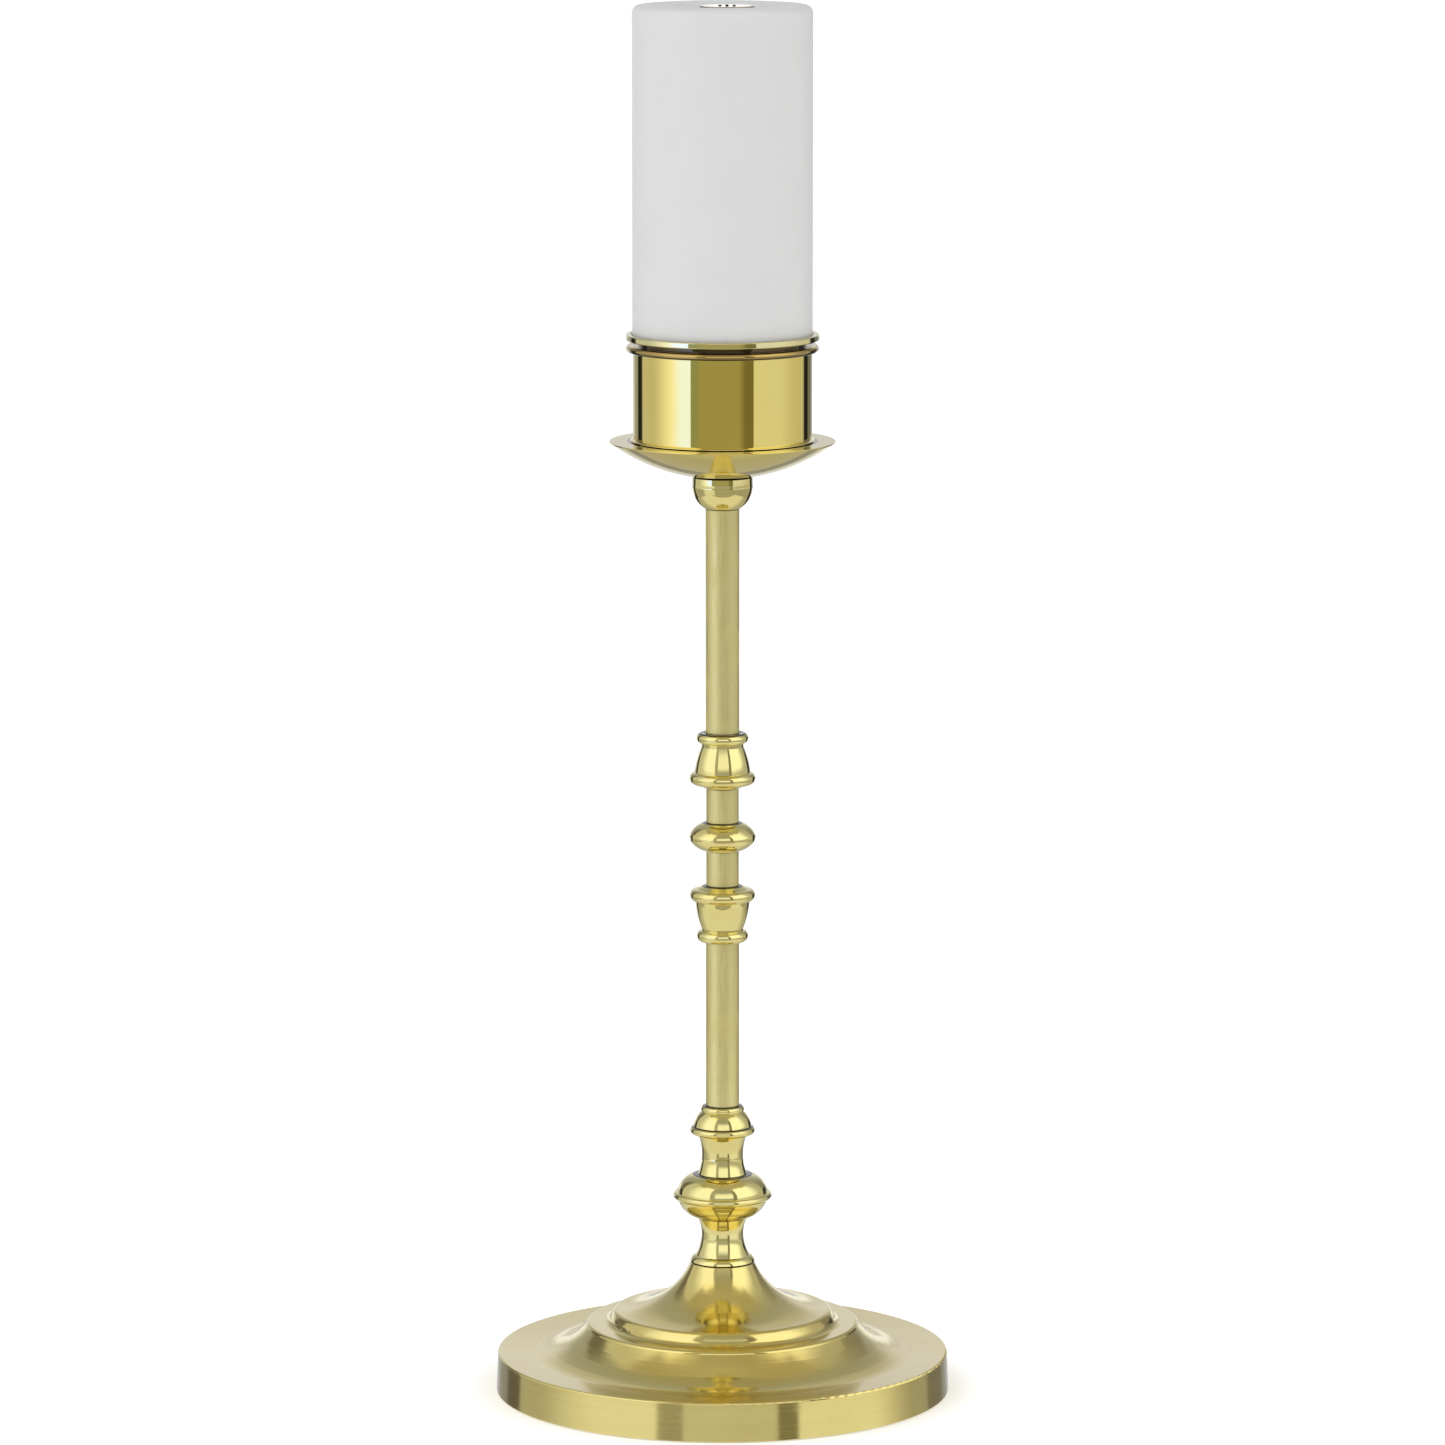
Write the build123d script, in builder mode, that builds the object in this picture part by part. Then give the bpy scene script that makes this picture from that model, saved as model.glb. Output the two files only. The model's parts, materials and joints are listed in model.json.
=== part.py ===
from build123d import *
from math import asin, degrees
import os

# A tall brass pillar candle holder and its candle, in millimetres. +Z is up and the origin is the
# centre of the felt pad's underside, where the holder stands on a table.
#
# The stem is a stack of turned pieces and tubes. One threaded rod runs up through all of them, from
# a nut under the cast-iron ballast in the foot to a cap nut inside the candle cup, and clamps them.
# The candle tray, the candle and the candle's burner lift off one above the other.

# ---- Driving dimensions ----

# Tie rod and its fittings (M6; the thread form is left out)
rod_radius = 3.0
rod_bore = 3.2
nut_bore = 3.05
nut_across_flats = 10.0
nut_height = 5.0
washer_radius = 7.5
washer_thickness = 1.2

# Foot
foot_radius = 77.0
foot_top = 13.5
foot_wall = 2.0
foot_clearance = 0.5
ledge_radius = 46.2
ledge_height = 23.6
dome_radius = 35.8
dome_height = 27.7
neck_radius = 10.95
neck_groove = 0.35
felt_radius = 74.6
felt_thickness = 2.0
ballast_radius = 74.0

# Stem: where each piece starts, from the foot up
z_lower_spool = 44.3
z_large_knop = 59.8
z_upper_spool = 74.7
z_stem_dome = 91.2
z_lower_tube = 98.4
z_lower_collar = 154.9
z_lower_link = 174.1
z_center_knop = 186.1
z_upper_link = 195.7
z_upper_collar = 207.5
z_upper_tube = 226.1
z_ball = 302.3
z_saucer = 313.15
tube_radius = 5.68
link_radius = 5.53
tube_bore = 4.7
spigot_radius = 4.65
spigot_length = 3.0

# Saucer and cup
saucer_radius = 37.95
saucer_top = 325.1
cup_radius = 30.0
cup_wall = 1.2
cup_floor = 1.5
cup_top = 355.2
ring_radius = 32.4
cup_ring_top = 357.4

# Candle tray: a lipped plate on a neck, with a spigot down inside the cup
tray_underside = 359.05
tray_top = 361.1
tray_seat = 360.2
tray_seat_radius = 30.6
neck_ring_radius = 28.2
spigot_tube_radius = 27.3
spigot_tube_wall = 1.4
spigot_bottom = 345.4

# Candle with a refillable oil insert
candle_radius = 30.15
candle_top = 470.6
candle_edge = 2.6
recess_radius = 17.3
recess_depth = 1.0
vial_radius = 8.0
vial_wall = 1.0
vial_bottom = 402.0
vial_fit = 0.05
insert_offset = 1.5
cap_radius = 9.15
cap_thickness = 0.7
vent_radius = 0.25
vent_collar_radius = 0.5
vent_collar_height = 0.3
vent_offset = 2.35
wick_radius = 0.5
wick_tube_radius = 1.0
wick_tube_length = 26.0
wick_length = 62.0
wick_stub = 0.35

os.makedirs("parts", exist_ok=True)


def save(part, name):
    part.label = name
    export_step(part, f"parts/{name}.step")


def outline(start, *steps):
    """Draw a run of lines and arcs. A step is its end point, or (point on the arc, end point)."""
    here = start
    for step in steps:
        if isinstance(step[0], tuple):
            ThreePointArc(here, step[0], step[1])
            here = step[1]
        else:
            Line(here, step)
            here = step


def upright(center):
    """The upright line that crosses the x axis at center."""
    return Axis((center, 0, 0), (0, 0, 1))


def half_section(*steps, center=0.0):
    """A closed outline on the x-z plane, measured from the upright line at x = center."""
    with BuildSketch(Plane(origin=(center, 0, 0), x_dir=(1, 0, 0), z_dir=(0, -1, 0))) as section:
        with BuildLine():
            outline(*steps)
        make_face()
    return section.sketch


def turned(name, *steps, center=0.0):
    """A lathe-turned piece: steps go once round its half section, as (radius, height) points."""
    with BuildPart() as piece:
        revolve(half_section(*steps, center=center), axis=upright(center))
    save(piece.part, name)


def ring(name, inner, outer, bottom, top, center=0.0):
    """A plain tube, disc or washer."""
    with BuildPart() as piece:
        with BuildSketch(Plane.XY.offset(bottom)):
            with Locations((center, 0)):
                Circle(outer)
                if inner:
                    Circle(inner, mode=Mode.SUBTRACT)
        extrude(amount=top - bottom)
    save(piece.part, name)


def stem_piece(name, bottom, top, *outside, spigot_below=False, spigot_above=False):
    """A turned stem piece on the tie rod, with a spigot into the tube at either end of it."""
    below = bottom - spigot_length if spigot_below else bottom
    above = top + spigot_length if spigot_above else top
    steps = [(rod_bore, below)]
    if spigot_below:
        steps += [(spigot_radius, below), (spigot_radius, bottom)]
    steps += outside
    if spigot_above:
        steps += [(spigot_radius, top), (spigot_radius, above)]
    steps += [(rod_bore, above), (rod_bore, below)]
    turned(name, *steps)


# ---- Foot ----

# The spun foot: a low drum rim, a wide plate sweeping up to a ledge, and a rolled dome whose neck
# rises to the stem. The wall is about 2 mm all over, except at the neck, which is solid round the
# rod. The dome's face meets the ledge in a fillet.
rim_inside = foot_radius - foot_wall
plate_underside = foot_top - 2.4
ledge_inside = ledge_radius - 1.6
turned(
    "foot_shell",
    (rod_bore, z_lower_spool),
    (neck_radius - neck_groove, z_lower_spool),
    (neck_radius, z_lower_spool - neck_groove),
    ((14.9, 37.6), (22.9, 31.3)),
    ((29.4, 28.7), (dome_radius, dome_height)),
    ((dome_radius + 0.78, dome_height - 0.2), (dome_radius + 1.4, dome_height - 0.73)),
    ((dome_radius + 1.95, dome_height - 1.55), (dome_radius + 2.38, dome_height - 2.43)),
    ((dome_radius + 3.33, dome_height - 3.63), (dome_radius + 4.79, ledge_height)),
    (ledge_radius - 1.0, ledge_height),
    ((ledge_radius - 0.2, ledge_height - 0.3), (ledge_radius + 0.2, ledge_height - 1.0)),
    ((47.77, 21.02), (49.2, 19.5)),
    ((50.97, 17.86), (52.9, 16.4)),
    ((55.12, 15.1), (57.5, 14.1)),
    ((60.7, 13.28), (64.0, foot_top - 0.5)),
    (foot_radius - 1.1, foot_top),
    ((foot_radius - 0.6, foot_top - 0.2), (foot_radius - 0.5, foot_top - 0.7)),
    (foot_radius, foot_clearance),
    (rim_inside, foot_clearance),
    (rim_inside, plate_underside),
    (63.0, plate_underside),
    ((51.0, 14.9), (ledge_inside, ledge_height - 2.2)),
    (35.4, ledge_height - 2.2),
    (35.4, dome_height - 2.2),
    ((28.6, 26.6), (21.6, 29.5)),
    (13.5, 35.4),
    (9.0, 37.0),
    (rod_bore, 37.0),
    (rod_bore, z_lower_spool),
)

# A cast-iron disc fills the drum and seats under the plate. The rod's nut pulls it up from below.
counterbore_top = felt_thickness + nut_height + washer_thickness + 0.3
turned(
    "ballast_disc",
    (rod_bore, counterbore_top),
    (washer_radius + 1.5, counterbore_top),
    (washer_radius + 1.5, felt_thickness),
    (ballast_radius, felt_thickness),
    (ballast_radius, plate_underside),
    (rod_bore, plate_underside),
    (rod_bore, counterbore_top),
)
ring("felt_pad", 0, felt_radius, 0, felt_thickness)

# ---- Tie rod, nuts and washers ----

cup_floor_top = saucer_top + cup_floor
cap_nut_bottom = cup_floor_top + washer_thickness
cap_nut_hex = 5.0
cap_nut_dome = 4.0
rod_bottom = felt_thickness + 0.3
rod_top = cap_nut_bottom + cap_nut_hex + 1.0
ring("tie_rod", 0, rod_radius, rod_bottom, rod_top)
ring("base_washer", rod_bore, washer_radius, counterbore_top - washer_thickness, counterbore_top)
ring("cup_washer", rod_bore, washer_radius, cup_floor_top, cap_nut_bottom)

with BuildPart() as base_nut:
    with BuildSketch(Plane.XY.offset(felt_thickness + 0.3)):
        RegularPolygon(nut_across_flats / 2, 6, major_radius=False)
        Circle(nut_bore, mode=Mode.SUBTRACT)
    extrude(amount=nut_height)
save(base_nut.part, "base_nut")

# The cap nut inside the cup: a hexagon with a domed, closed top.
dome_base = cap_nut_bottom + cap_nut_hex
dome_chord = 4.6
cap_dome = (dome_chord**2 + cap_nut_dome**2) / (2 * cap_nut_dome)
cap_dome_center = dome_base + cap_nut_dome - cap_dome
cap_dome_start = degrees(asin((dome_base - cap_dome_center) / cap_dome))
with BuildPart() as cap_nut:
    with BuildSketch(Plane.XZ):
        with BuildLine():
            cap_arc = CenterArc((0, cap_dome_center), cap_dome, cap_dome_start, 90 - cap_dome_start)
            Polyline(
                cap_arc @ 1,
                (0, rod_top + 0.2),
                (nut_bore, rod_top + 0.2),
                (nut_bore, dome_base),
                cap_arc @ 0,
            )
        make_face()
    revolve(axis=Axis.Z)
    with BuildSketch(Plane.XY.offset(cap_nut_bottom)):
        RegularPolygon(nut_across_flats / 2, 6, major_radius=False)
        Circle(nut_bore, mode=Mode.SUBTRACT)
    extrude(amount=cap_nut_hex)
save(cap_nut.part, "cap_nut")

# ---- Stem, from the foot up ----

stem_piece(
    "lower_spool", z_lower_spool, z_large_knop,
    (neck_radius - neck_groove, z_lower_spool),
    (neck_radius, z_lower_spool + neck_groove),
    ((10.45, 45.8), (9.2, 46.7)),
    ((7.1, 53.4), (8.5, z_large_knop)),
)
stem_piece(
    "large_knop", z_large_knop, z_upper_spool,
    (8.5, z_large_knop),
    ((13.1, 62.3), (15.2, 66.3)),
    ((16.75, 67.2), (15.3, 68.5)),
    ((13.0, 73.0), (8.3, z_upper_spool)),
)
stem_piece(
    "upper_spool", z_upper_spool, z_stem_dome,
    (8.3, z_upper_spool),
    ((7.0, 81.6), (8.6, 89.0)),
    ((11.0, 90.1), (9.9, z_stem_dome)),
)
stem_piece(
    "stem_dome", z_stem_dome, z_lower_tube,
    (9.9, z_stem_dome),
    ((9.1, 93.8), (7.1, 96.4)),
    ((7.35, 97.4), (6.2, z_lower_tube)),
    spigot_above=True,
)
stem_piece(
    "lower_vase_collar", z_lower_collar, z_lower_link,
    (6.2, z_lower_collar),
    ((8.75, 156.8), (7.1, 158.9)),
    (7.1, 159.4),
    ((8.5, 163.8), (9.3, 168.8)),
    ((11.1, 170.7), (9.0, 173.0)),
    (6.4, z_lower_link),
    spigot_below=True, spigot_above=True,
)
stem_piece(
    "center_knop", z_center_knop, z_upper_link,
    (6.2, z_center_knop),
    ((9.3, 187.6), (10.7, 189.0)),
    ((11.25, 190.7), (10.7, 192.4)),
    ((9.1, 194.2), (6.2, z_upper_link)),
    spigot_below=True, spigot_above=True,
)
stem_piece(
    "upper_vase_collar", z_upper_collar, z_upper_tube,
    (6.2, z_upper_collar),
    (8.5, 208.8),
    ((11.2, 210.8), (9.4, 212.9)),
    ((8.6, 217.4), (7.15, 221.6)),
    (7.15, 222.7),
    ((8.82, 224.4), (6.2, z_upper_tube)),
    spigot_below=True, spigot_above=True,
)
stem_piece(
    "ball_cup", z_ball, z_saucer,
    (6.0, z_ball),
    ((9.55, 306.5), (10.1, 310.9)),
    (10.1, z_saucer - 0.3),
    (9.8, z_saucer),
    spigot_below=True,
)
ring("lower_tube", tube_bore, tube_radius, z_lower_tube, z_lower_collar)
ring("lower_link_tube", tube_bore, link_radius, z_lower_link, z_center_knop)
ring("upper_link_tube", tube_bore, link_radius, z_upper_link, z_upper_collar)
ring("upper_tube", tube_bore, tube_radius, z_upper_tube, z_ball)

# ---- Saucer and candle cup ----

# The saucer is flat on top and bowed underneath, down to the ball cup, with a thin rim.
turned(
    "drip_saucer",
    (rod_bore, z_saucer),
    (9.0, z_saucer),
    ((25.5, 317.7), (saucer_radius - 0.1, saucer_top - 0.4)),
    ((saucer_radius, saucer_top - 0.2), (saucer_radius - 0.1, saucer_top)),
    (rod_bore, saucer_top),
    (rod_bore, z_saucer),
)

# The drawn cup stands on the saucer on a narrow rolled foot.
cup_inside = cup_radius - cup_wall
turned(
    "candle_cup",
    (rod_bore, saucer_top),
    (cup_radius + 0.6, saucer_top),
    ((cup_radius + 0.85, saucer_top + 0.3), (cup_radius + 0.6, saucer_top + 0.6)),
    (cup_radius, saucer_top + 0.8),
    (cup_radius, cup_top),
    (cup_inside, cup_top),
    (cup_inside, cup_floor_top),
    (rod_bore, cup_floor_top),
    (rod_bore, saucer_top),
)

# A half-round ring caps the cup's wall.
ring_inside = spigot_tube_radius + 0.3
ring_middle = (cup_top + cup_ring_top) / 2
ring_bulge = 1.4
turned(
    "cup_rim_ring",
    (ring_inside, cup_top),
    (ring_radius - ring_bulge, cup_top),
    ((ring_radius, ring_middle), (ring_radius - ring_bulge, cup_ring_top)),
    (ring_inside, cup_ring_top),
    (ring_inside, cup_top),
)

# ---- Candle tray ----

spigot_inside = spigot_tube_radius - spigot_tube_wall
lip_edge = 0.25
turned(
    "candle_tray",
    (0, tray_underside),
    (spigot_inside, tray_underside),
    (spigot_inside, spigot_bottom),
    (spigot_tube_radius, spigot_bottom),
    (spigot_tube_radius, cup_ring_top),
    (neck_ring_radius, cup_ring_top),
    (neck_ring_radius, tray_underside),
    (ring_radius - lip_edge, tray_underside),
    (ring_radius, tray_underside + lip_edge),
    (ring_radius, tray_top - lip_edge),
    (ring_radius - lip_edge, tray_top),
    (tray_seat_radius, tray_top),
    (tray_seat_radius, tray_seat),
    (0, tray_seat),
    (0, tray_underside),
)

# ---- Candle ----

# The wax pillar: rounded at the top edge, with a shallow round recess and a drilled well a little
# off its middle.
recess_floor = candle_top - recess_depth
well_radius = vial_radius + vial_fit
edge_mid = candle_edge * 0.293
candle_section = half_section(
    (0, tray_seat),
    (candle_radius - 0.6, tray_seat),
    (candle_radius, tray_seat + 0.6),
    (candle_radius, candle_top - candle_edge),
    (
        (candle_radius - edge_mid, candle_top - edge_mid),
        (candle_radius - candle_edge, candle_top),
    ),
    (0, candle_top),
    (0, tray_seat),
)
well_section = half_section(
    (0, vial_bottom),
    (well_radius, vial_bottom),
    (well_radius, recess_floor),
    (recess_radius - 1.0, recess_floor),
    ((recess_radius + 0.3, candle_top - 0.5), (recess_radius + 1.2, candle_top)),
    (0, candle_top),
    (0, vial_bottom),
    center=insert_offset,
)
with BuildPart() as candle_body:
    revolve(candle_section, axis=upright(0))
    revolve(well_section, axis=upright(insert_offset), mode=Mode.SUBTRACT)
save(candle_body.part, "candle_body")

# The oil reservoir: a vial pushed down into the well, open at the recess floor.
turned(
    "oil_reservoir",
    (0, vial_bottom),
    (vial_radius, vial_bottom),
    (vial_radius, recess_floor),
    (vial_radius - vial_wall, recess_floor),
    (vial_radius - vial_wall, vial_bottom + vial_wall),
    (0, vial_bottom + vial_wall),
    (0, vial_bottom),
    center=insert_offset,
)

# ---- Burner, which lifts out of the reservoir ----

cap_top = recess_floor + cap_thickness
with BuildPart() as burner_cap:
    with BuildSketch(Plane.XY.offset(recess_floor)):
        with Locations((insert_offset, 0)):
            Circle(cap_radius)
            Circle(wick_tube_radius, mode=Mode.SUBTRACT)
    extrude(amount=cap_thickness)
    rim = burner_cap.edges().filter_by(GeomType.CIRCLE).group_by(Axis.Z)[-1].sort_by(SortBy.RADIUS)[-1]
    fillet(rim, 0.3)
    with BuildSketch(Plane.XY.offset(cap_top)):
        with Locations((insert_offset + vent_offset, 0), (insert_offset - vent_offset, 0)):
            Circle(vent_collar_radius)
    extrude(amount=vent_collar_height)
    with BuildSketch(Plane.XY.offset(recess_floor)):
        with Locations((insert_offset + vent_offset, 0), (insert_offset - vent_offset, 0)):
            Circle(vent_radius)
    extrude(amount=cap_thickness + vent_collar_height, mode=Mode.SUBTRACT)
save(burner_cap.part, "burner_cap")

wick_tube_bottom = cap_top - wick_tube_length
wick_top = cap_top + wick_stub
ring("wick_tube", wick_radius + 0.05, wick_tube_radius, wick_tube_bottom, cap_top, insert_offset)
ring("wick", 0, wick_radius, wick_top - wick_length, wick_top, insert_offset)
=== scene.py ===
import json
import math

import bmesh
import bpy
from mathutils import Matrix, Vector


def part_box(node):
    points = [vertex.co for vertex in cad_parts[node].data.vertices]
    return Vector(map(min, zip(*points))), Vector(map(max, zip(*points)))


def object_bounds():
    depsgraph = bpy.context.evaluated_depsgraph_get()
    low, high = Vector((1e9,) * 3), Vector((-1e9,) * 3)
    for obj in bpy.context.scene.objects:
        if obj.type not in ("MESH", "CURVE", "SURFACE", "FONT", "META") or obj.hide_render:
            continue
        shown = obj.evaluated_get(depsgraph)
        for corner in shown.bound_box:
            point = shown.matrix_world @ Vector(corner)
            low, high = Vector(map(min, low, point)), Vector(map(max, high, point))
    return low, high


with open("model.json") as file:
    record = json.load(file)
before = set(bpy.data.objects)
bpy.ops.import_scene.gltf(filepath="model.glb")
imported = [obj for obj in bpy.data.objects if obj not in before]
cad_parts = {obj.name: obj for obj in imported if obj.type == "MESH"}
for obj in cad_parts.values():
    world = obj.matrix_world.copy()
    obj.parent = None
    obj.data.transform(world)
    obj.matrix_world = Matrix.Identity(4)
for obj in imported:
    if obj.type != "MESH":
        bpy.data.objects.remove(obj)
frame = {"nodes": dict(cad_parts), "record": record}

cad_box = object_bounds()
nodes = frame["nodes"]
scene = bpy.context.scene
scene.view_settings.view_transform = "Standard"

MM = 0.001


# ---- Shader helpers ----

class Shader:
    """A node tree with short calls for the nodes that the materials use."""

    def __init__(self, tree):
        self.tree = tree
        self.tree.nodes.clear()

    def node(self, kind, **settings):
        made = self.tree.nodes.new(kind)
        for key, value in settings.items():
            setattr(made, key, value)
        return made

    def link(self, source, target):
        if isinstance(source, (int, float, tuple)):
            target.default_value = source
        else:
            self.tree.links.new(source, target)

    def math(self, operation, a, b=0.0, c=0.0):
        made = self.node("ShaderNodeMath", operation=operation)
        for value, socket in zip((a, b, c), made.inputs):
            self.link(value, socket)
        return made.outputs[0]

    def length(self, x, y):
        """The length of a flat vector."""
        return self.math("SQRT", self.math("ADD", self.math("MULTIPLY", x, x), self.math("MULTIPLY", y, y)))

    def product(self, *values):
        total = values[0]
        for value in values[1:]:
            total = self.math("MULTIPLY", total, value)
        return total

    def vector(self, x, y, z):
        made = self.node("ShaderNodeCombineXYZ")
        for value, socket in zip((x, y, z), made.inputs):
            self.link(value, socket)
        return made.outputs[0]

    def separate(self, vector):
        made = self.node("ShaderNodeSeparateXYZ")
        self.link(vector, made.inputs[0])
        return made.outputs

    def range(self, value, low, high, to_low, to_high, smooth=False):
        kind = "SMOOTHSTEP" if smooth else "LINEAR"
        made = self.node("ShaderNodeMapRange", interpolation_type=kind)
        for item, socket in zip((value, low, high, to_low, to_high), made.inputs):
            self.link(item, socket)
        return made.outputs[0]

    def noise(self, vector, scale, detail=2.0, roughness=0.5):
        made = self.node("ShaderNodeTexNoise")
        self.link(vector, made.inputs["Vector"])
        made.inputs["Scale"].default_value = scale
        made.inputs["Detail"].default_value = detail
        made.inputs["Roughness"].default_value = roughness
        return made.outputs["Fac"]

    def mix(self, factor, a, b):
        """A colour mix. A colour is a tuple of three numbers or a socket."""
        made = self.node("ShaderNodeMix", data_type="RGBA")
        self.link(factor, made.inputs["Factor"])
        for value, socket in ((a, made.inputs["A"]), (b, made.inputs["B"])):
            self.link((*value, 1.0) if isinstance(value, tuple) else value, socket)
        return made.outputs["Result"]

    def tinted(self, colour, tint):
        made = self.node("ShaderNodeVectorMath", operation="MULTIPLY")
        self.link(colour, made.inputs[0])
        self.link(tint, made.inputs[1])
        return made.outputs[0]

    def ramp(self, factor, stops, interpolation="LINEAR"):
        """A grey ramp from (position, value) stops."""
        made = self.node("ShaderNodeValToRGB")
        made.color_ramp.interpolation = interpolation
        elements = made.color_ramp.elements
        for i, (position, value) in enumerate(stops):
            element = elements[i] if i < len(elements) else elements.new(position)
            element.position = position
            element.color = (value, value, value, 1.0)
        self.link(factor, made.inputs[0])
        return made.outputs[0]

    def bump(self, height, strength, distance, normal=None):
        made = self.node("ShaderNodeBump")
        made.inputs["Strength"].default_value = strength
        made.inputs["Distance"].default_value = distance
        self.link(height, made.inputs["Height"])
        if normal is not None:
            self.link(normal, made.inputs["Normal"])
        return made.outputs[0]


def new_material(name):
    """A material, its shader helper, its Principled node and the place of each point in the frame."""
    material = bpy.data.materials.new(name)
    material.use_nodes = True
    shader = Shader(material.node_tree)
    principled = shader.node("ShaderNodeBsdfPrincipled")
    output = shader.node("ShaderNodeOutputMaterial")
    shader.link(principled.outputs[0], output.inputs["Surface"])
    place = shader.node("ShaderNodeTexCoord").outputs["Object"]
    return material, shader, principled, place


def cylinder_place(shader, place):
    """Radius, turn angle's cosine and sine, and height of a point, all about the stem's axis."""
    x, y, z = shader.separate(place)
    radius = shader.length(x, y)
    safe = shader.math("MAXIMUM", radius, 1e-5)
    return radius, shader.math("DIVIDE", x, safe), shader.math("DIVIDE", y, safe), z


# ---- Materials ----

# The hairline between two pieces: half its width, the softness of its edges, and how dark it is.
SEAM_HALF = 0.16 * MM
SEAM_SOFT = 0.10 * MM
SEAM_TONE = 0.10

# Grain: noise lines that run round a turned piece, or along a drawn tube.
TURNED_SCALE = 2600
TURNED_DRIFT = 0.0006
DRAWN_SCALE = 2200
DRAWN_WIDTH = 0.006
DRAWN_STRETCH = 0.05
BROAD_SHARE = 0.18

# Tones of brass that is not bright.
DEEP_BRASS = (0.90, 0.84, 0.70)
# The next tone is painted shade, for the gap between the rings and the underside of the cup's ring.
PAINTED_SHADE_TONE = (0.09, 0.07, 0.035)
SOOT = (0.035, 0.03, 0.022)
DULL_RIM = (0.30, 0.25, 0.10)


def seam_lines(shader, radius, height, seams):
    """1 on polished metal, falling to 0 in the hairline where one piece meets the next."""
    clear = 1.0
    for level, reach in seams:
        gap = shader.math("ABSOLUTE", shader.math("SUBTRACT", height, level))
        off = shader.range(gap, SEAM_HALF, SEAM_HALF + SEAM_SOFT, 0.0, 1.0, smooth=True)
        off = shader.math("MAXIMUM", off, shader.math("GREATER_THAN", radius, reach))
        clear = shader.math("MULTIPLY", clear, off)
    return clear


def grain_noise(shader, place, grain):
    """Fine and broad noise that follow the tool marks."""
    radius, cosine, sine, height = cylinder_place(shader, place)
    if grain == "turned":
        lines = shader.vector(radius, height, shader.math("MULTIPLY", cosine, TURNED_DRIFT))
        scale = TURNED_SCALE
    else:
        across = [shader.math("MULTIPLY", part, DRAWN_WIDTH) for part in (cosine, sine)]
        lines = shader.vector(*across, shader.math("MULTIPLY", height, DRAWN_STRETCH))
        scale = DRAWN_SCALE
    return shader.noise(lines, scale, 3.0, 0.6), shader.noise(lines, scale * BROAD_SHARE, 2.0, 0.5)


def painted_shade_band(shader, radius, height, colour, shade_band):
    """Painted shade: darker metal between two heights, in as far as a radius."""
    low, high, reach = shade_band
    above = shader.math("GREATER_THAN", height, low)
    below = shader.math("LESS_THAN", height, high)
    inside = shader.product(above, below, shader.math("LESS_THAN", radius, reach))
    return shader.mix(inside, colour, PAINTED_SHADE_TONE)


def sooty_cap(shader, place, colour, soot):
    """Soot round the wick and the vents, and the dull rim of the burner's cap."""
    x, y, z = shader.separate(place)
    middle_x, level, spots, rim_radius = soot
    off_x = shader.math("SUBTRACT", x, middle_x)
    above = shader.math("GREATER_THAN", z, level)
    for spot in spots:
        away = shader.length(shader.math("SUBTRACT", off_x, spot), y)
        black = shader.range(away, 0.45 * MM, 0.9 * MM, 1.0, 0.0, smooth=True)
        colour = shader.mix(shader.math("MULTIPLY", black, above), colour, SOOT)
    out = shader.length(off_x, y)
    dull = shader.range(out, rim_radius - 1.3 * MM, rim_radius - 0.4 * MM, 0.0, 1.0, smooth=True)
    return shader.mix(dull, colour, DULL_RIM)


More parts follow.
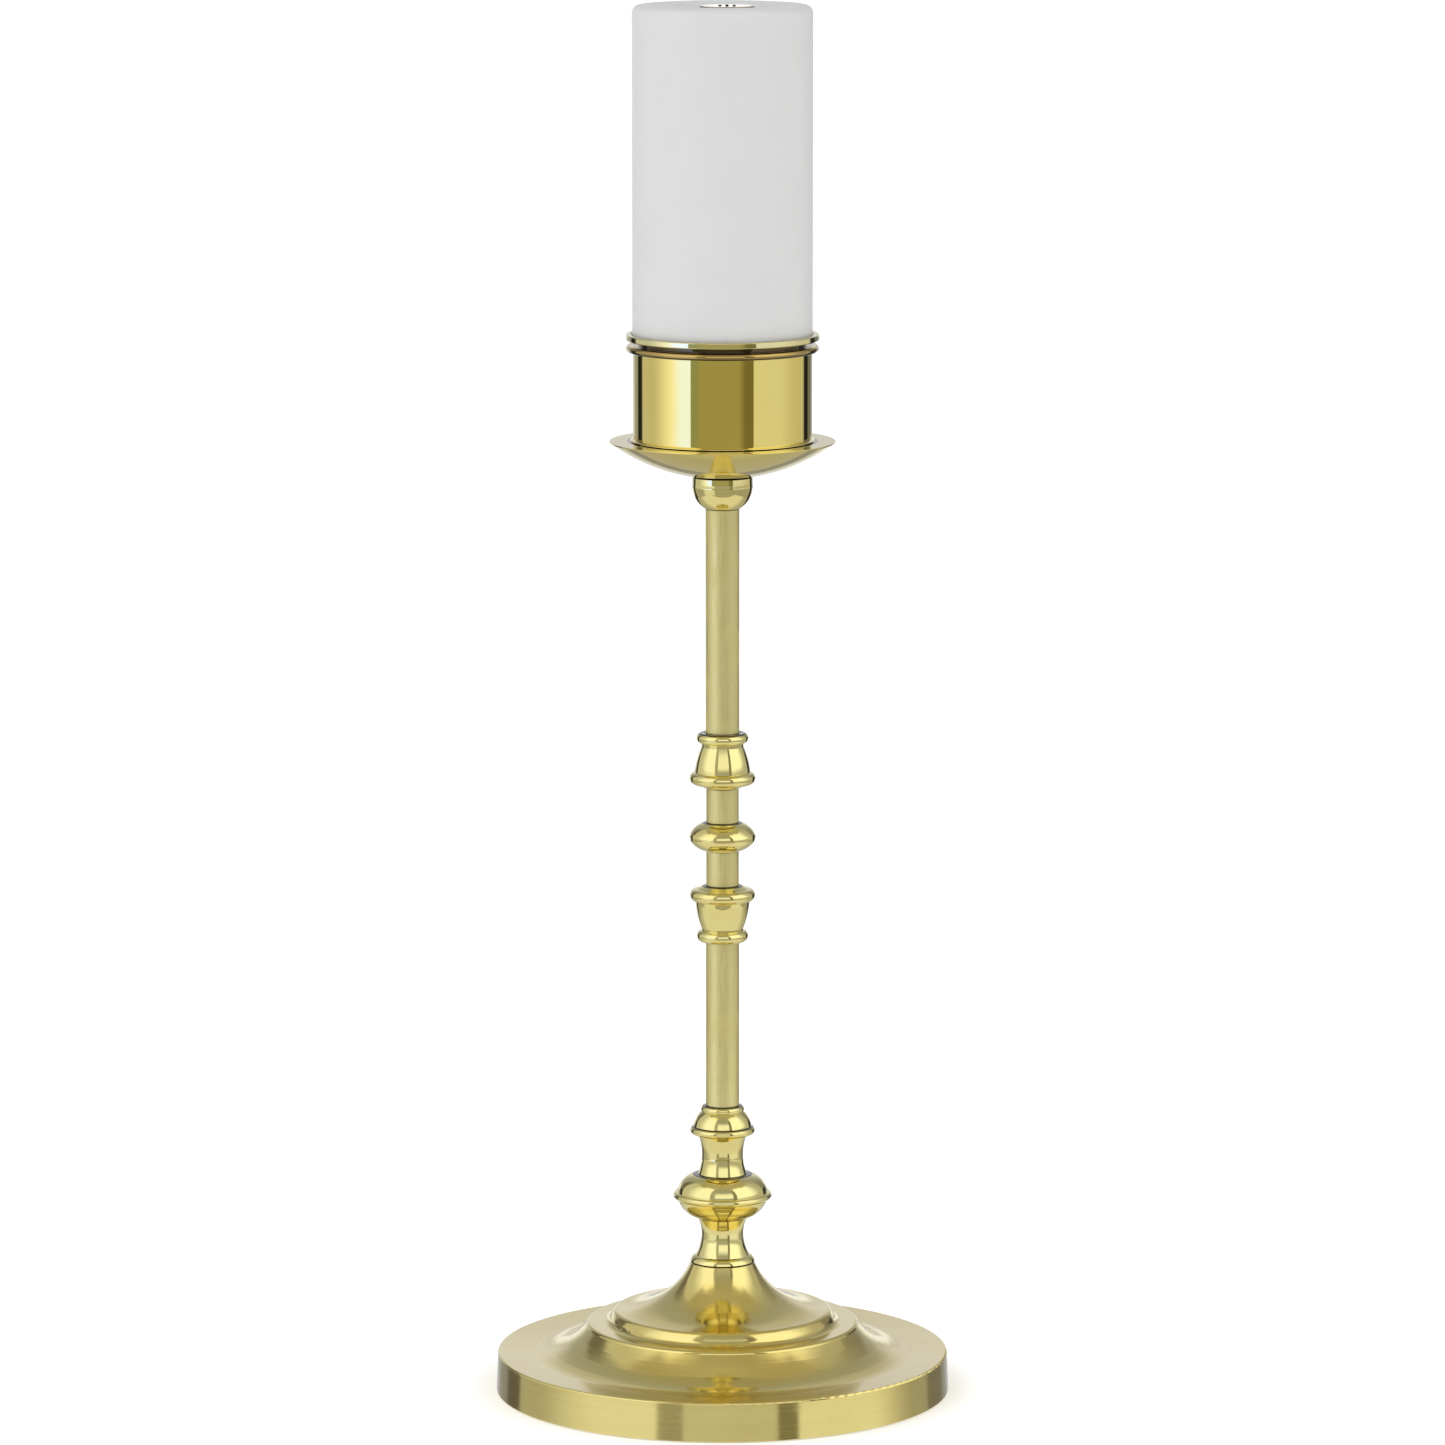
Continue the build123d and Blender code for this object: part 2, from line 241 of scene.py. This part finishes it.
def brass(name, base, roughness, grain="turned", grain_depth=0.25, anisotropy=0.0, tarnish=0.10,
          rim=None, shade_band=None, seams=(), broken_edge=0.0, soot=None):
    """Lacquered brass. Grain runs round a turned piece and along a drawn tube.

    Below the height rim the metal is a little rougher. The shade band is painted shade between two heights,
    seams are the heights and reaches of the hairlines, and soot says where a burner's cap is sooty and dull.
    """
    material, shader, principled, place = new_material(name)
    radius, _, _, height = cylinder_place(shader, place)
    fine, broad = grain_noise(shader, place, grain)
    cloud = shader.noise(place, 28, 4.0, 0.55)
    smudge = shader.noise(place, 95, 5.0, 0.62)

    # Colour: slow clouds of slightly deeper, redder brass under the lacquer.
    deep = tuple(channel * factor for channel, factor in zip(base, DEEP_BRASS))
    clouded = shader.range(cloud, 0.42, 0.68, 0.0, 1.0, smooth=True)
    tint = shader.mix(shader.math("MULTIPLY", clouded, tarnish * 4), base, deep)
    tone = shader.range(broad, 0.35, 0.65, 0.975, 1.0)
    if seams:
        clear = seam_lines(shader, radius, height, seams)
        tone = shader.math("MULTIPLY", tone, shader.range(clear, 0.0, 1.0, SEAM_TONE, 1.0))
    scaled = shader.node("ShaderNodeVectorMath", operation="SCALE")
    shader.link(tint, scaled.inputs[0])
    shader.link(tone, scaled.inputs["Scale"])
    colour = scaled.outputs[0]
    # Painted shade in the gap between the rings and under the cup's ring.
    if shade_band:
        colour = painted_shade_band(shader, radius, height, colour, shade_band)
    if soot:
        colour = sooty_cap(shader, place, colour, soot)
    shader.link(colour, principled.inputs["Base Color"])

    # Roughness: the grain and finger smudges.
    from_grain = shader.range(fine, 0.3, 0.7, -0.35, 0.35)
    from_smudge = shader.range(smudge, 0.45, 0.75, -0.08, 0.30, smooth=True)
    uneven = shader.math("ADD", 1.0, shader.math("ADD", from_grain, from_smudge))
    if rim:
        uneven = shader.math("MULTIPLY", uneven, shader.range(height, rim - 0.4 * MM, rim, 1.1, 1.0))
    shader.link(shader.math("MULTIPLY", uneven, roughness), principled.inputs["Roughness"])

    # Normal: broken edges, then a faint hand-polished waviness, then the grain.
    start = None
    if broken_edge:
        edge = shader.node("ShaderNodeBevel", samples=8)
        edge.inputs["Radius"].default_value = broken_edge
        start = edge.outputs[0]
    waves = shader.bump(shader.noise(place, 60, 1.0, 0.4), 0.04, 0.15 * MM, start)
    grooves = shader.bump(shader.math("ADD", fine, broad), grain_depth, 0.012 * MM, waves)
    shader.link(grooves, principled.inputs["Normal"])

    principled.inputs["Metallic"].default_value = 1.0
    principled.inputs["Coat Weight"].default_value = 0.2
    principled.inputs["Coat Roughness"].default_value = 0.06
    principled.inputs["Coat IOR"].default_value = 1.48
    if anisotropy:
        tangent = shader.node("ShaderNodeTangent", direction_type="RADIAL", axis="Z")
        shader.link(tangent.outputs[0], principled.inputs["Tangent"])
        principled.inputs["Anisotropic"].default_value = anisotropy
        principled.inputs["Anisotropic Rotation"].default_value = 0.25 if grain == "turned" else 0.0
    return material


def wax():
    """Smooth white candle wax: light passes a little way in, with faint mottling and casting marks."""
    material, shader, principled, place = new_material("candle_wax")
    _, cosine, sine, height = cylinder_place(shader, place)
    mottle = shader.noise(place, 75, 4.0, 0.6)
    fine = shader.noise(place, 900, 3.0, 0.6)
    round_it = [shader.math("MULTIPLY", part, 0.01) for part in (cosine, sine)]
    pours = shader.noise(shader.vector(*round_it, height), 130, 3.0)
    mottled = shader.range(mottle, 0.35, 0.7, 0.0, 1.0, smooth=True)
    tint = shader.mix(mottled, (0.66, 0.66, 0.664), (0.648, 0.648, 0.652))
    shader.link(tint, principled.inputs["Base Color"])
    shader.link(shader.range(mottle, 0.3, 0.7, 0.38, 0.50), principled.inputs["Roughness"])
    soft = shader.bump(shader.math("ADD", pours, mottle), 0.12, 0.35 * MM)
    shader.link(shader.bump(fine, 0.08, 0.05 * MM, soft), principled.inputs["Normal"])
    principled.inputs["Subsurface Weight"].default_value = 0.35
    principled.inputs["Subsurface Radius"].default_value = (1.0, 0.95, 0.9)
    principled.inputs["Subsurface Scale"].default_value = 4.0 * MM
    principled.inputs["IOR"].default_value = 1.44
    principled.inputs["Specular IOR Level"].default_value = 0.35
    return material


def felt():
    """Dark wool felt: tangled fibres, soft sheen."""
    material, shader, principled, place = new_material("felt")
    fibres = shader.noise(place, 1400, 6.0, 0.75)
    patches = shader.noise(place, 110, 3.0, 0.5)
    tangled = shader.range(fibres, 0.3, 0.7, 0.0, 1.0)
    tint = shader.mix(tangled, (0.012, 0.016, 0.013), (0.055, 0.062, 0.056))
    tint = shader.mix(shader.range(patches, 0.4, 0.7, 0.0, 0.35), tint, (0.03, 0.03, 0.03))
    shader.link(tint, principled.inputs["Base Color"])
    shader.link(shader.range(fibres, 0.3, 0.7, 0.86, 1.0), principled.inputs["Roughness"])
    shader.link(shader.bump(fibres, 0.7, 0.3 * MM), principled.inputs["Normal"])
    principled.inputs["Sheen Weight"].default_value = 0.4
    principled.inputs["Sheen Roughness"].default_value = 0.5
    return material


def cast_iron():
    """Rough dark casting with pits."""
    material, shader, principled, place = new_material("ballast_iron")
    grain = shader.noise(place, 420, 6.0, 0.7)
    pits = shader.node("ShaderNodeTexVoronoi")
    pits.inputs["Scale"].default_value = 260
    shader.link(place, pits.inputs["Vector"])
    tint = shader.mix(shader.range(grain, 0.35, 0.7, 0.0, 1.0), (0.035, 0.035, 0.037), (0.085, 0.075, 0.068))
    shader.link(tint, principled.inputs["Base Color"])
    shader.link(shader.range(grain, 0.3, 0.7, 0.55, 0.8), principled.inputs["Roughness"])
    height = shader.math("ADD", grain, shader.math("MULTIPLY", pits.outputs["Distance"], 0.6))
    shader.link(shader.bump(height, 0.5, 0.25 * MM), principled.inputs["Normal"])
    principled.inputs["Metallic"].default_value = 0.35
    return material


def zinc_steel():
    """Zinc-plated fasteners with a faint spangle."""
    material, shader, principled, place = new_material("rod_steel")
    spangle = shader.noise(place, 700, 2.0, 0.5)
    wear = shader.noise(place, 160, 4.0, 0.6)
    tint = shader.mix(shader.range(wear, 0.4, 0.7, 0.0, 1.0), (0.60, 0.60, 0.61), (0.47, 0.475, 0.49))
    shader.link(tint, principled.inputs["Base Color"])
    shader.link(shader.range(spangle, 0.3, 0.7, 0.24, 0.42), principled.inputs["Roughness"])
    shader.link(shader.bump(spangle, 0.15, 0.05 * MM), principled.inputs["Normal"])
    principled.inputs["Metallic"].default_value = 1.0
    return material


def vial_plastic():
    """Clear moulded vial, faintly hazed by oil."""
    material, shader, principled, place = new_material("reservoir_plastic")
    haze = shader.noise(place, 180, 4.0, 0.6)
    tint = shader.mix(shader.range(haze, 0.4, 0.7, 0.0, 1.0), (0.90, 0.92, 0.92), (0.84, 0.86, 0.84))
    shader.link(tint, principled.inputs["Base Color"])
    shader.link(shader.range(haze, 0.3, 0.7, 0.06, 0.16), principled.inputs["Roughness"])
    shader.link(shader.bump(haze, 0.05, 0.1 * MM), principled.inputs["Normal"])
    principled.inputs["Transmission Weight"].default_value = 0.7
    principled.inputs["IOR"].default_value = 1.49
    return material


def wick_fibre(tip):
    """Braided glass-fibre wick, charred towards its tip."""
    material, shader, principled, place = new_material("wick_fibre")
    _, _, z = shader.separate(place)
    strands = shader.noise(place, 3200, 3.0, 0.6)
    char = shader.range(z, tip - 1.6 * MM, tip - 0.4 * MM, 0.0, 1.0, smooth=True)
    clean = shader.mix(strands, (0.62, 0.59, 0.52), (0.80, 0.78, 0.72))
    shader.link(shader.mix(char, clean, (0.02, 0.018, 0.016)), principled.inputs["Base Color"])
    shader.link(shader.range(strands, 0.3, 0.7, 0.75, 0.95), principled.inputs["Roughness"])
    shader.link(shader.bump(strands, 0.5, 0.1 * MM), principled.inputs["Normal"])
    return material


PALE_BRASS = (0.84, 0.735, 0.30)
FOOT_BRASS = (0.82, 0.68, 0.245)
TUBE_BRASS = (0.90, 0.80, 0.36)
CUP_BRASS = (0.83, 0.675, 0.20)
RING_BRASS = (0.52, 0.37, 0.115)
TRAY_BRASS = (0.84, 0.76, 0.38)
BURNER_BRASS = (0.97, 0.89, 0.66)
FOOT_RIM_TOP = 12.9 * MM
EDGE_BREAK = 0.2 * MM
VENT_OFFSET = 2.35 * MM

# The burner's cap: its middle, the level above which soot settles, the wick and the two vents, the rim.
cap_low, cap_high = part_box("burner_cap")
burner_soot = (
    (cap_low.x + cap_high.x) / 2,
    cap_low.z + 0.5 * MM,
    (-VENT_OFFSET, 0.0, VENT_OFFSET),
    (cap_high.x - cap_low.x) / 2,
)

# Bands of painted shade: the candle tray's neck in the gap between the rings, and the underside of the cup's
# ring.
ring_low, ring_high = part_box("cup_rim_ring")
tray_neck_shade = (ring_high.z - 3.0 * MM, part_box("candle_tray")[1].z - 1.95 * MM, 30.0 * MM)
ring_underside_shade = (ring_low.z - 1.0 * MM, ring_low.z + 0.7 * MM, 40.0 * MM)

# Where one piece of the stem meets the next: the bottoms and the tops of these pieces.
SEAM_REACH = 12.0 * MM
SAUCER_SEAM_REACH = 32.0 * MM
SEAM_BOTTOMS = ("lower_spool", "large_knop", "upper_spool", "stem_dome", "lower_tube", "lower_link_tube",
                "upper_link_tube", "upper_tube", "drip_saucer")
SEAM_TOPS = ("lower_tube", "lower_link_tube", "upper_link_tube", "upper_tube")
seam_levels = [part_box(name)[0].z for name in SEAM_BOTTOMS] + [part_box(name)[1].z for name in SEAM_TOPS]
stem_seams = [(level, SEAM_REACH) for level in seam_levels]
foot_seams = stem_seams[:1]
saucer_low, saucer_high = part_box("drip_saucer")
saucer_seams = [(saucer_low.z, SEAM_REACH), (saucer_high.z, SAUCER_SEAM_REACH)]

slot_materials = {
    "foot_brass": brass("foot_brass", FOOT_BRASS, 0.125, grain_depth=0.015, anisotropy=0.9,
                        rim=FOOT_RIM_TOP, seams=foot_seams),
    "stem_brass": brass("stem_brass", PALE_BRASS, 0.05, grain_depth=0.04, seams=stem_seams),
    "tube_brass": brass("tube_brass", TUBE_BRASS, 0.46, grain="drawn", grain_depth=0.3, anisotropy=0.5,
                        seams=stem_seams),
    "cup_brass": brass("cup_brass", CUP_BRASS, 0.035, grain="drawn", grain_depth=0.02, tarnish=0.05,
                       seams=saucer_seams),
    "ring_brass": brass("ring_brass", RING_BRASS, 0.09, grain_depth=0.05, tarnish=0.15,
                        shade_band=ring_underside_shade, broken_edge=EDGE_BREAK),
    "tray_brass": brass("tray_brass", TRAY_BRASS, 0.05, grain_depth=0.03, tarnish=0.04,
                        shade_band=tray_neck_shade, broken_edge=EDGE_BREAK),
    "cap_nut_brass": brass("cap_nut_brass", PALE_BRASS, 0.12),
    "burner_brass": brass("burner_brass", BURNER_BRASS, 0.06, grain_depth=0.05, tarnish=0.03,
                          soot=burner_soot),
    "rod_steel": zinc_steel(),
    "ballast_iron": cast_iron(),
    "felt": felt(),
    "candle_wax": wax(),
    "reservoir_plastic": vial_plastic(),
    "wick_fibre": wick_fibre(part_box("wick")[1].z),
}
for part in frame["record"]["subparts"]:
    node = nodes[part["node"]]
    for index in range(len(node.material_slots)):
        node.material_slots[index].material = slot_materials[part["material_slot"]]


# ---- Studio ----

# Studio panels in fixed places round the object: turn from and to (degrees from the front, -Y, towards
# +X), softness of those two edges, height from and to (degrees above the horizon), softness of those
# two edges, and brightness. Later panels cover earlier ones. The cup's panels are a narrow band just
# below the horizon, where an upright wall seen from a little above mirrors the studio.
STUDIO_PANELS = {
    "left wall": (-128, -30, 3, 3, -90, 66, 5, 10, (0.65, 0.64, 0.60)),
    "right wall": (36, 130, 3, 12, -90, 64, 5, 10, (0.55, 0.54, 0.51)),
    "left softbox": (-88, -33, 22, 1.5, 2, 61, 5, 4, (1.24, 1.24, 1.25)),
    "right softbox": (38.5, 98, 1.5, 18, 5, 59, 5, 4, (1.30, 1.30, 1.26)),
    "left shade": (-135, -74, 3, 8, 54, 72, 3, 10, (0.47, 0.46, 0.42)),
    "right shade": (78, 135, 8, 3, 54, 72, 3, 10, (0.47, 0.46, 0.42)),
    "left flag": (-33, -20, 1, 1, 8, 46, 4, 6, (0.50, 0.48, 0.42)),
    "right flag": (28, 38.5, 1, 1, -4, 48, 2, 6, (0.30, 0.28, 0.22)),
    "front window": (-20, 28, 1, 1, 9, 34, 4, 10, (1.15, 1.15, 1.12)),
    "left low wall": (-124, -31, 4, 1, -30, -7.6, 3, 0.4, (0.43, 0.42, 0.39)),
    "left low glow": (-76, -31, 8, 1, -30, -7.6, 3, 0.4, (0.85, 0.85, 0.82)),
    "low front": (-31, 35, 1, 1, -90, -7.6, 4, 0.4, (0.45, 0.43, 0.36)),
    "right low wall": (35, 124, 1, 4, -30, -7.6, 3, 0.4, (0.43, 0.42, 0.39)),
    "cup front": (-41.5, 40.5, 0.4, 0.4, -7.6, -4.5, 0.4, 1.5, (0.41, 0.38, 0.22)),
    "cup front edge": (-41.5, -30, 0.4, 1.5, -7.6, -4.5, 0.4, 1.5, (0.33, 0.36, 0.26)),
    "cup front dark": (25, 40.5, 6, 0.4, -7.6, -4.5, 0.4, 1.5, (0.22, 0.19, 0.09)),
    "cup left softbox": (-82, -41.5, 22, 0.4, -7.6, -4.5, 0.4, 1.5, (1.20, 1.20, 1.25)),
    "cup left core": (-62, -41.5, 10, 0.4, -7.6, -4.5, 0.4, 1.5, (1.10, 1.34, 2.70)),
    "cup right softbox": (40.5, 124, 0.4, 3, -7.6, -4.5, 0.4, 1.5, (0.84, 0.84, 0.84)),
    "cup right side": (95, 124, 22, 3, -7.6, -4.5, 0.4, 1.5, (0.66, 0.63, 0.54)),
    "left rear backdrop": (-200, -141, 1, 4, -30, 90, 4, 1, (0.40, 0.41, 0.42)),
    "right rear backdrop": (150, 200, 4, 1, -30, 90, 4, 1, (0.40, 0.41, 0.42)),
    "left rear glow": (-200, -162, 1, 11, -30, 17, 6, 9, (0.68, 0.67, 0.65)),
    "right rear glow": (163, 200, 11, 1, -30, 17, 6, 9, (0.66, 0.65, 0.63)),
    "left rear upper glow": (-200, -165, 1, 8, 18, 36, 6, 6, (0.60, 0.59, 0.57)),
    "right rear upper glow": (165, 200, 8, 1, 18, 37, 6, 6, (0.57, 0.56, 0.54)),
    "left rear strip": (-200, -166, 1, 9, 10.5, 19, 2, 6, (0.80, 0.80, 0.87)),
    "right rear strip": (166, 200, 9, 1, 10.5, 19, 2, 6, (0.77, 0.77, 0.84)),
    "left rear low strip": (-200, -165, 1, 9, 0.2, 5.0, 1, 0.8, (1.02, 0.99, 0.92)),
    "right rear low strip": (165, 200, 9, 1, 0.2, 5.0, 1, 0.8, (1.00, 0.97, 0.90)),
    "left low rear glow": (-177, -146, 5, 6, -17, 5, 4, 5, (1.00, 1.00, 0.98)),
    "right low rear glow": (156, 177, 5, 5, -19, 5, 4, 5, (1.05, 1.05, 1.03)),
    "left rear gap": (-200, -141, 1, 4, -38, -27, 1, 1, (0.32, 0.32, 0.32)),
    "right rear gap": (150, 200, 4, 1, -38, -27, 1, 1, (0.32, 0.32, 0.32)),
    "left rear flag": (-143, -126, 3, 2, -30, 8, 3, 5, (0.04, 0.04, 0.04)),
    "right rear flag": (129, 151, 2, 3, -30, 8, 3, 5, (0.04, 0.04, 0.04)),
    "left rear flag top": (-143, -126, 3, 2, 8, 38, 5, 14, (0.18, 0.17, 0.16)),
    "right rear flag top": (129, 151, 2, 3, 8, 32, 5, 16, (0.28, 0.27, 0.25)),
    "left low rear flag": (-158, -127, 3, 1, -30, -17, 2, 3, (0.04, 0.04, 0.04)),
    "right low rear flag": (130, 160, 1, 3, -30, -17, 2, 3, (0.04, 0.04, 0.04)),
    "cup left rear": (-200, -135, 1, 1, -7.6, -4.5, 0.4, 1.5, (0.36, 0.37, 0.36)),
    "cup left far rear": (-200, -157, 1, 9, -7.6, -4.5, 0.4, 1.5, (0.80, 0.80, 0.80)),
    "cup right rear": (137, 200, 1, 1, -7.6, -4.5, 0.4, 1.5, (0.19, 0.19, 0.18)),
    "cup right far rear": (161, 200, 9, 1, -7.6, -4.5, 0.4, 1.5, (0.55, 0.55, 0.55)),
    "cup left flag": (-139.9, -130.4, 1.2, 1.2, -7.6, -4.5, 0.4, 1.5, (0.02, 0.02, 0.02)),
    "cup right flag": (131.5, 142.8, 1.2, 1.2, -7.6, -4.5, 0.4, 1.5, (0.02, 0.02, 0.02)),
}
# Brightness of the rest of the surround at these heights above the horizon, in degrees.
CEILING_STOPS = [(0, 0.45), (25, 0.45), (50, 0.42), (70, 0.48), (90, 0.54)]

# The table top: its edges, its gap under the object, and how it mirrors the studio.
TABLE_SIDE = 0.5
TABLE_FRONT = -0.355
TABLE_BACK = 0.42
TABLE_GAP = 0.3 * MM
TABLE_POLISH = (0.75, 0.75, 0.75, 1.0)
TABLE_ROUGHNESS = 0.12


def studio_world():
    """Soft studio light from one surround. The camera sees plain white behind the object."""
    world = bpy.data.worlds.new("studio")
    scene.world = world
    world.use_nodes = True
    shader = Shader(world.node_tree)
    direction = shader.node("ShaderNodeTexCoord").outputs["Generated"]
    x, y, z = shader.separate(direction)
    turn = shader.math("ARCTAN2", x, shader.math("MULTIPLY", y, -1.0))
    height = shader.math("ARCSINE", shader.math("MAXIMUM", shader.math("MINIMUM", z, 1.0), -1.0))

    def between(angle, low, high, soft_low, soft_high):
        low, high, soft_low, soft_high = (math.radians(value) for value in (low, high, soft_low, soft_high))
        rise = shader.range(angle, low - soft_low, low + soft_low, 0.0, 1.0, smooth=True)
        fall = shader.range(angle, high - soft_high, high + soft_high, 1.0, 0.0, smooth=True)
        return shader.math("MULTIPLY", rise, fall)

    quarter = shader.range(height, 0.0, math.pi / 2, 0.0, 1.0)
    colour = shader.ramp(quarter, [(angle / 90, value) for angle, value in CEILING_STOPS])
    for left, right, soft_left, soft_right, low, high, soft_low, soft_high, light in STUDIO_PANELS.values():
        across = between(turn, left, right, soft_left, soft_right)
        up = between(height, low, high, soft_low, soft_high)
        colour = shader.mix(shader.math("MULTIPLY", across, up), colour, light)

    path = shader.node("ShaderNodeLightPath")
    overhead = shader.range(height, math.radians(42), math.radians(66), 0.0, 1.0, smooth=True)
    glossy_tint = shader.mix(overhead, (1.0, 1.03, 1.12), (1.02, 0.96, 0.76))
    side_tint = shader.mix(shader.range(x, -1.0, 1.0, 0.0, 1.0), (1.12, 1.12, 1.13), (0.97, 0.97, 0.98))
    tint = shader.mix(path.outputs["Is Glossy Ray"], side_tint, glossy_tint)
    colour = shader.tinted(colour, tint)
    colour = shader.mix(path.outputs["Is Camera Ray"], colour, (1.0, 1.0, 1.0))
    background = shader.node("ShaderNodeBackground")
    shader.link(colour, background.inputs["Color"])
    output = shader.node("ShaderNodeOutputWorld")
    shader.link(background.outputs[0], output.inputs["Surface"])


def studio_table():
    """The polished table top as the metal sees it: lit from above, and a mirror at a grazing look."""
    mesh = bpy.data.meshes.new("studio_table")
    corners = [
        (-TABLE_SIDE, TABLE_FRONT, 0),
        (TABLE_SIDE, TABLE_FRONT, 0),
        (TABLE_SIDE, TABLE_BACK, 0),
        (-TABLE_SIDE, TABLE_BACK, 0),
    ]
    mesh.from_pydata(corners, [], [(0, 1, 2, 3)])
    table = bpy.data.objects.new("studio_table", mesh)
    scene.collection.objects.link(table)
    table.location.z = cad_box[0][2] - TABLE_GAP
    table.visible_camera = False
    table.visible_diffuse = False
    table.visible_shadow = False
    material, shader, principled, place = new_material("table_light")
    _, y, _ = shader.separate(place)
    glow = shader.range(y, -0.02, 0.20, 0.86, 0.50, smooth=True)
    emission = shader.node("ShaderNodeEmission")
    shader.link(glow, emission.inputs["Color"])
    polish = shader.node("ShaderNodeBsdfGlossy")
    polish.inputs["Color"].default_value = TABLE_POLISH
    polish.inputs["Roughness"].default_value = TABLE_ROUGHNESS
    facing = shader.node("ShaderNodeLayerWeight").outputs["Facing"]
    cover = shader.node("ShaderNodeMixShader")
    shader.link(shader.range(facing, 0.60, 0.73, 0.0, 1.0, smooth=True), cover.inputs["Fac"])
    shader.link(emission.outputs[0], cover.inputs[1])
    shader.link(polish.outputs[0], cover.inputs[2])
    output = next(node for node in material.node_tree.nodes if node.type == "OUTPUT_MATERIAL")
    shader.link(cover.outputs[0], output.inputs["Surface"])
    mesh.materials.append(material)


FLOOR_RADIUS = 14.0


def studio_floor():
    """A wide pale floor disc that burns out to the backdrop's white and takes a soft contact shadow,
    deepened by a painted shadow round the foot.
    """
    mesh = bpy.data.meshes.new("studio_floor")
    made = bmesh.new()
    bmesh.ops.create_circle(made, cap_ends=True, cap_tris=True, segments=96, radius=FLOOR_RADIUS)
    made.to_mesh(mesh)
    made.free()
    floor = bpy.data.objects.new("studio_floor", mesh)
    scene.collection.objects.link(floor)
    floor.location.z = cad_box[0][2]
    floor.visible_glossy = False
    material, shader, principled, place = new_material("floor_paper")
    fibre = shader.noise(place, 30, 3.0, 0.5)
    shader.link(shader.mix(fibre, (0.90, 0.90, 0.90), (0.92, 0.92, 0.92)), principled.inputs["Base Color"])
    principled.inputs["Roughness"].default_value = 0.9
    principled.inputs["Specular IOR Level"].default_value = 0.0
    principled.inputs["Emission Color"].default_value = (1.0, 1.0, 1.0, 1.0)
    x, y, _ = shader.separate(place)
    # Painted contact shadow: the floor's glow is turned down in a ring round the foot.
    strength = shader.range(shader.length(x, y), 0.078, 0.10, 0.30, 0.50, smooth=True)
    shader.link(strength, principled.inputs["Emission Strength"])
    mesh.materials.append(material)


SOFTBOX_PLACE = (-0.3, -0.5, 2.4)
SOFTBOX_AIM = Vector((0, 0, 0.1))


def studio_lights():
    """One overhead softbox, which gives the contact shadow under the foot its shape."""
    data = bpy.data.lights.new("overhead", "AREA")
    data.shape = "DISK"
    data.size = 1.6
    data.energy = 9.0
    lamp = bpy.data.objects.new("overhead", data)
    scene.collection.objects.link(lamp)
    lamp.location = SOFTBOX_PLACE
    lamp.rotation_euler = (SOFTBOX_AIM - lamp.location).to_track_quat("-Z", "Y").to_euler()
    lamp.visible_glossy = False


CAMERA_LENS = 184.4
CAMERA_PLACE = (0.0, -2.4621, 0.6126)
CAMERA_TILT_DOWN = 8.84


def studio_camera():
    """The photograph's viewpoint: a long lens, a little above the object, looking slightly down."""
    data = bpy.data.cameras.new("camera")
    data.sensor_width = 36.0
    data.lens = CAMERA_LENS
    data.clip_end = 100.0
    camera = bpy.data.objects.new("camera", data)
    scene.collection.objects.link(camera)
    camera.location = CAMERA_PLACE
    camera.rotation_euler = (math.radians(90 - CAMERA_TILT_DOWN), 0.0, 0.0)
    scene.camera = camera


studio_world()
studio_table()
studio_floor()
studio_lights()
studio_camera()
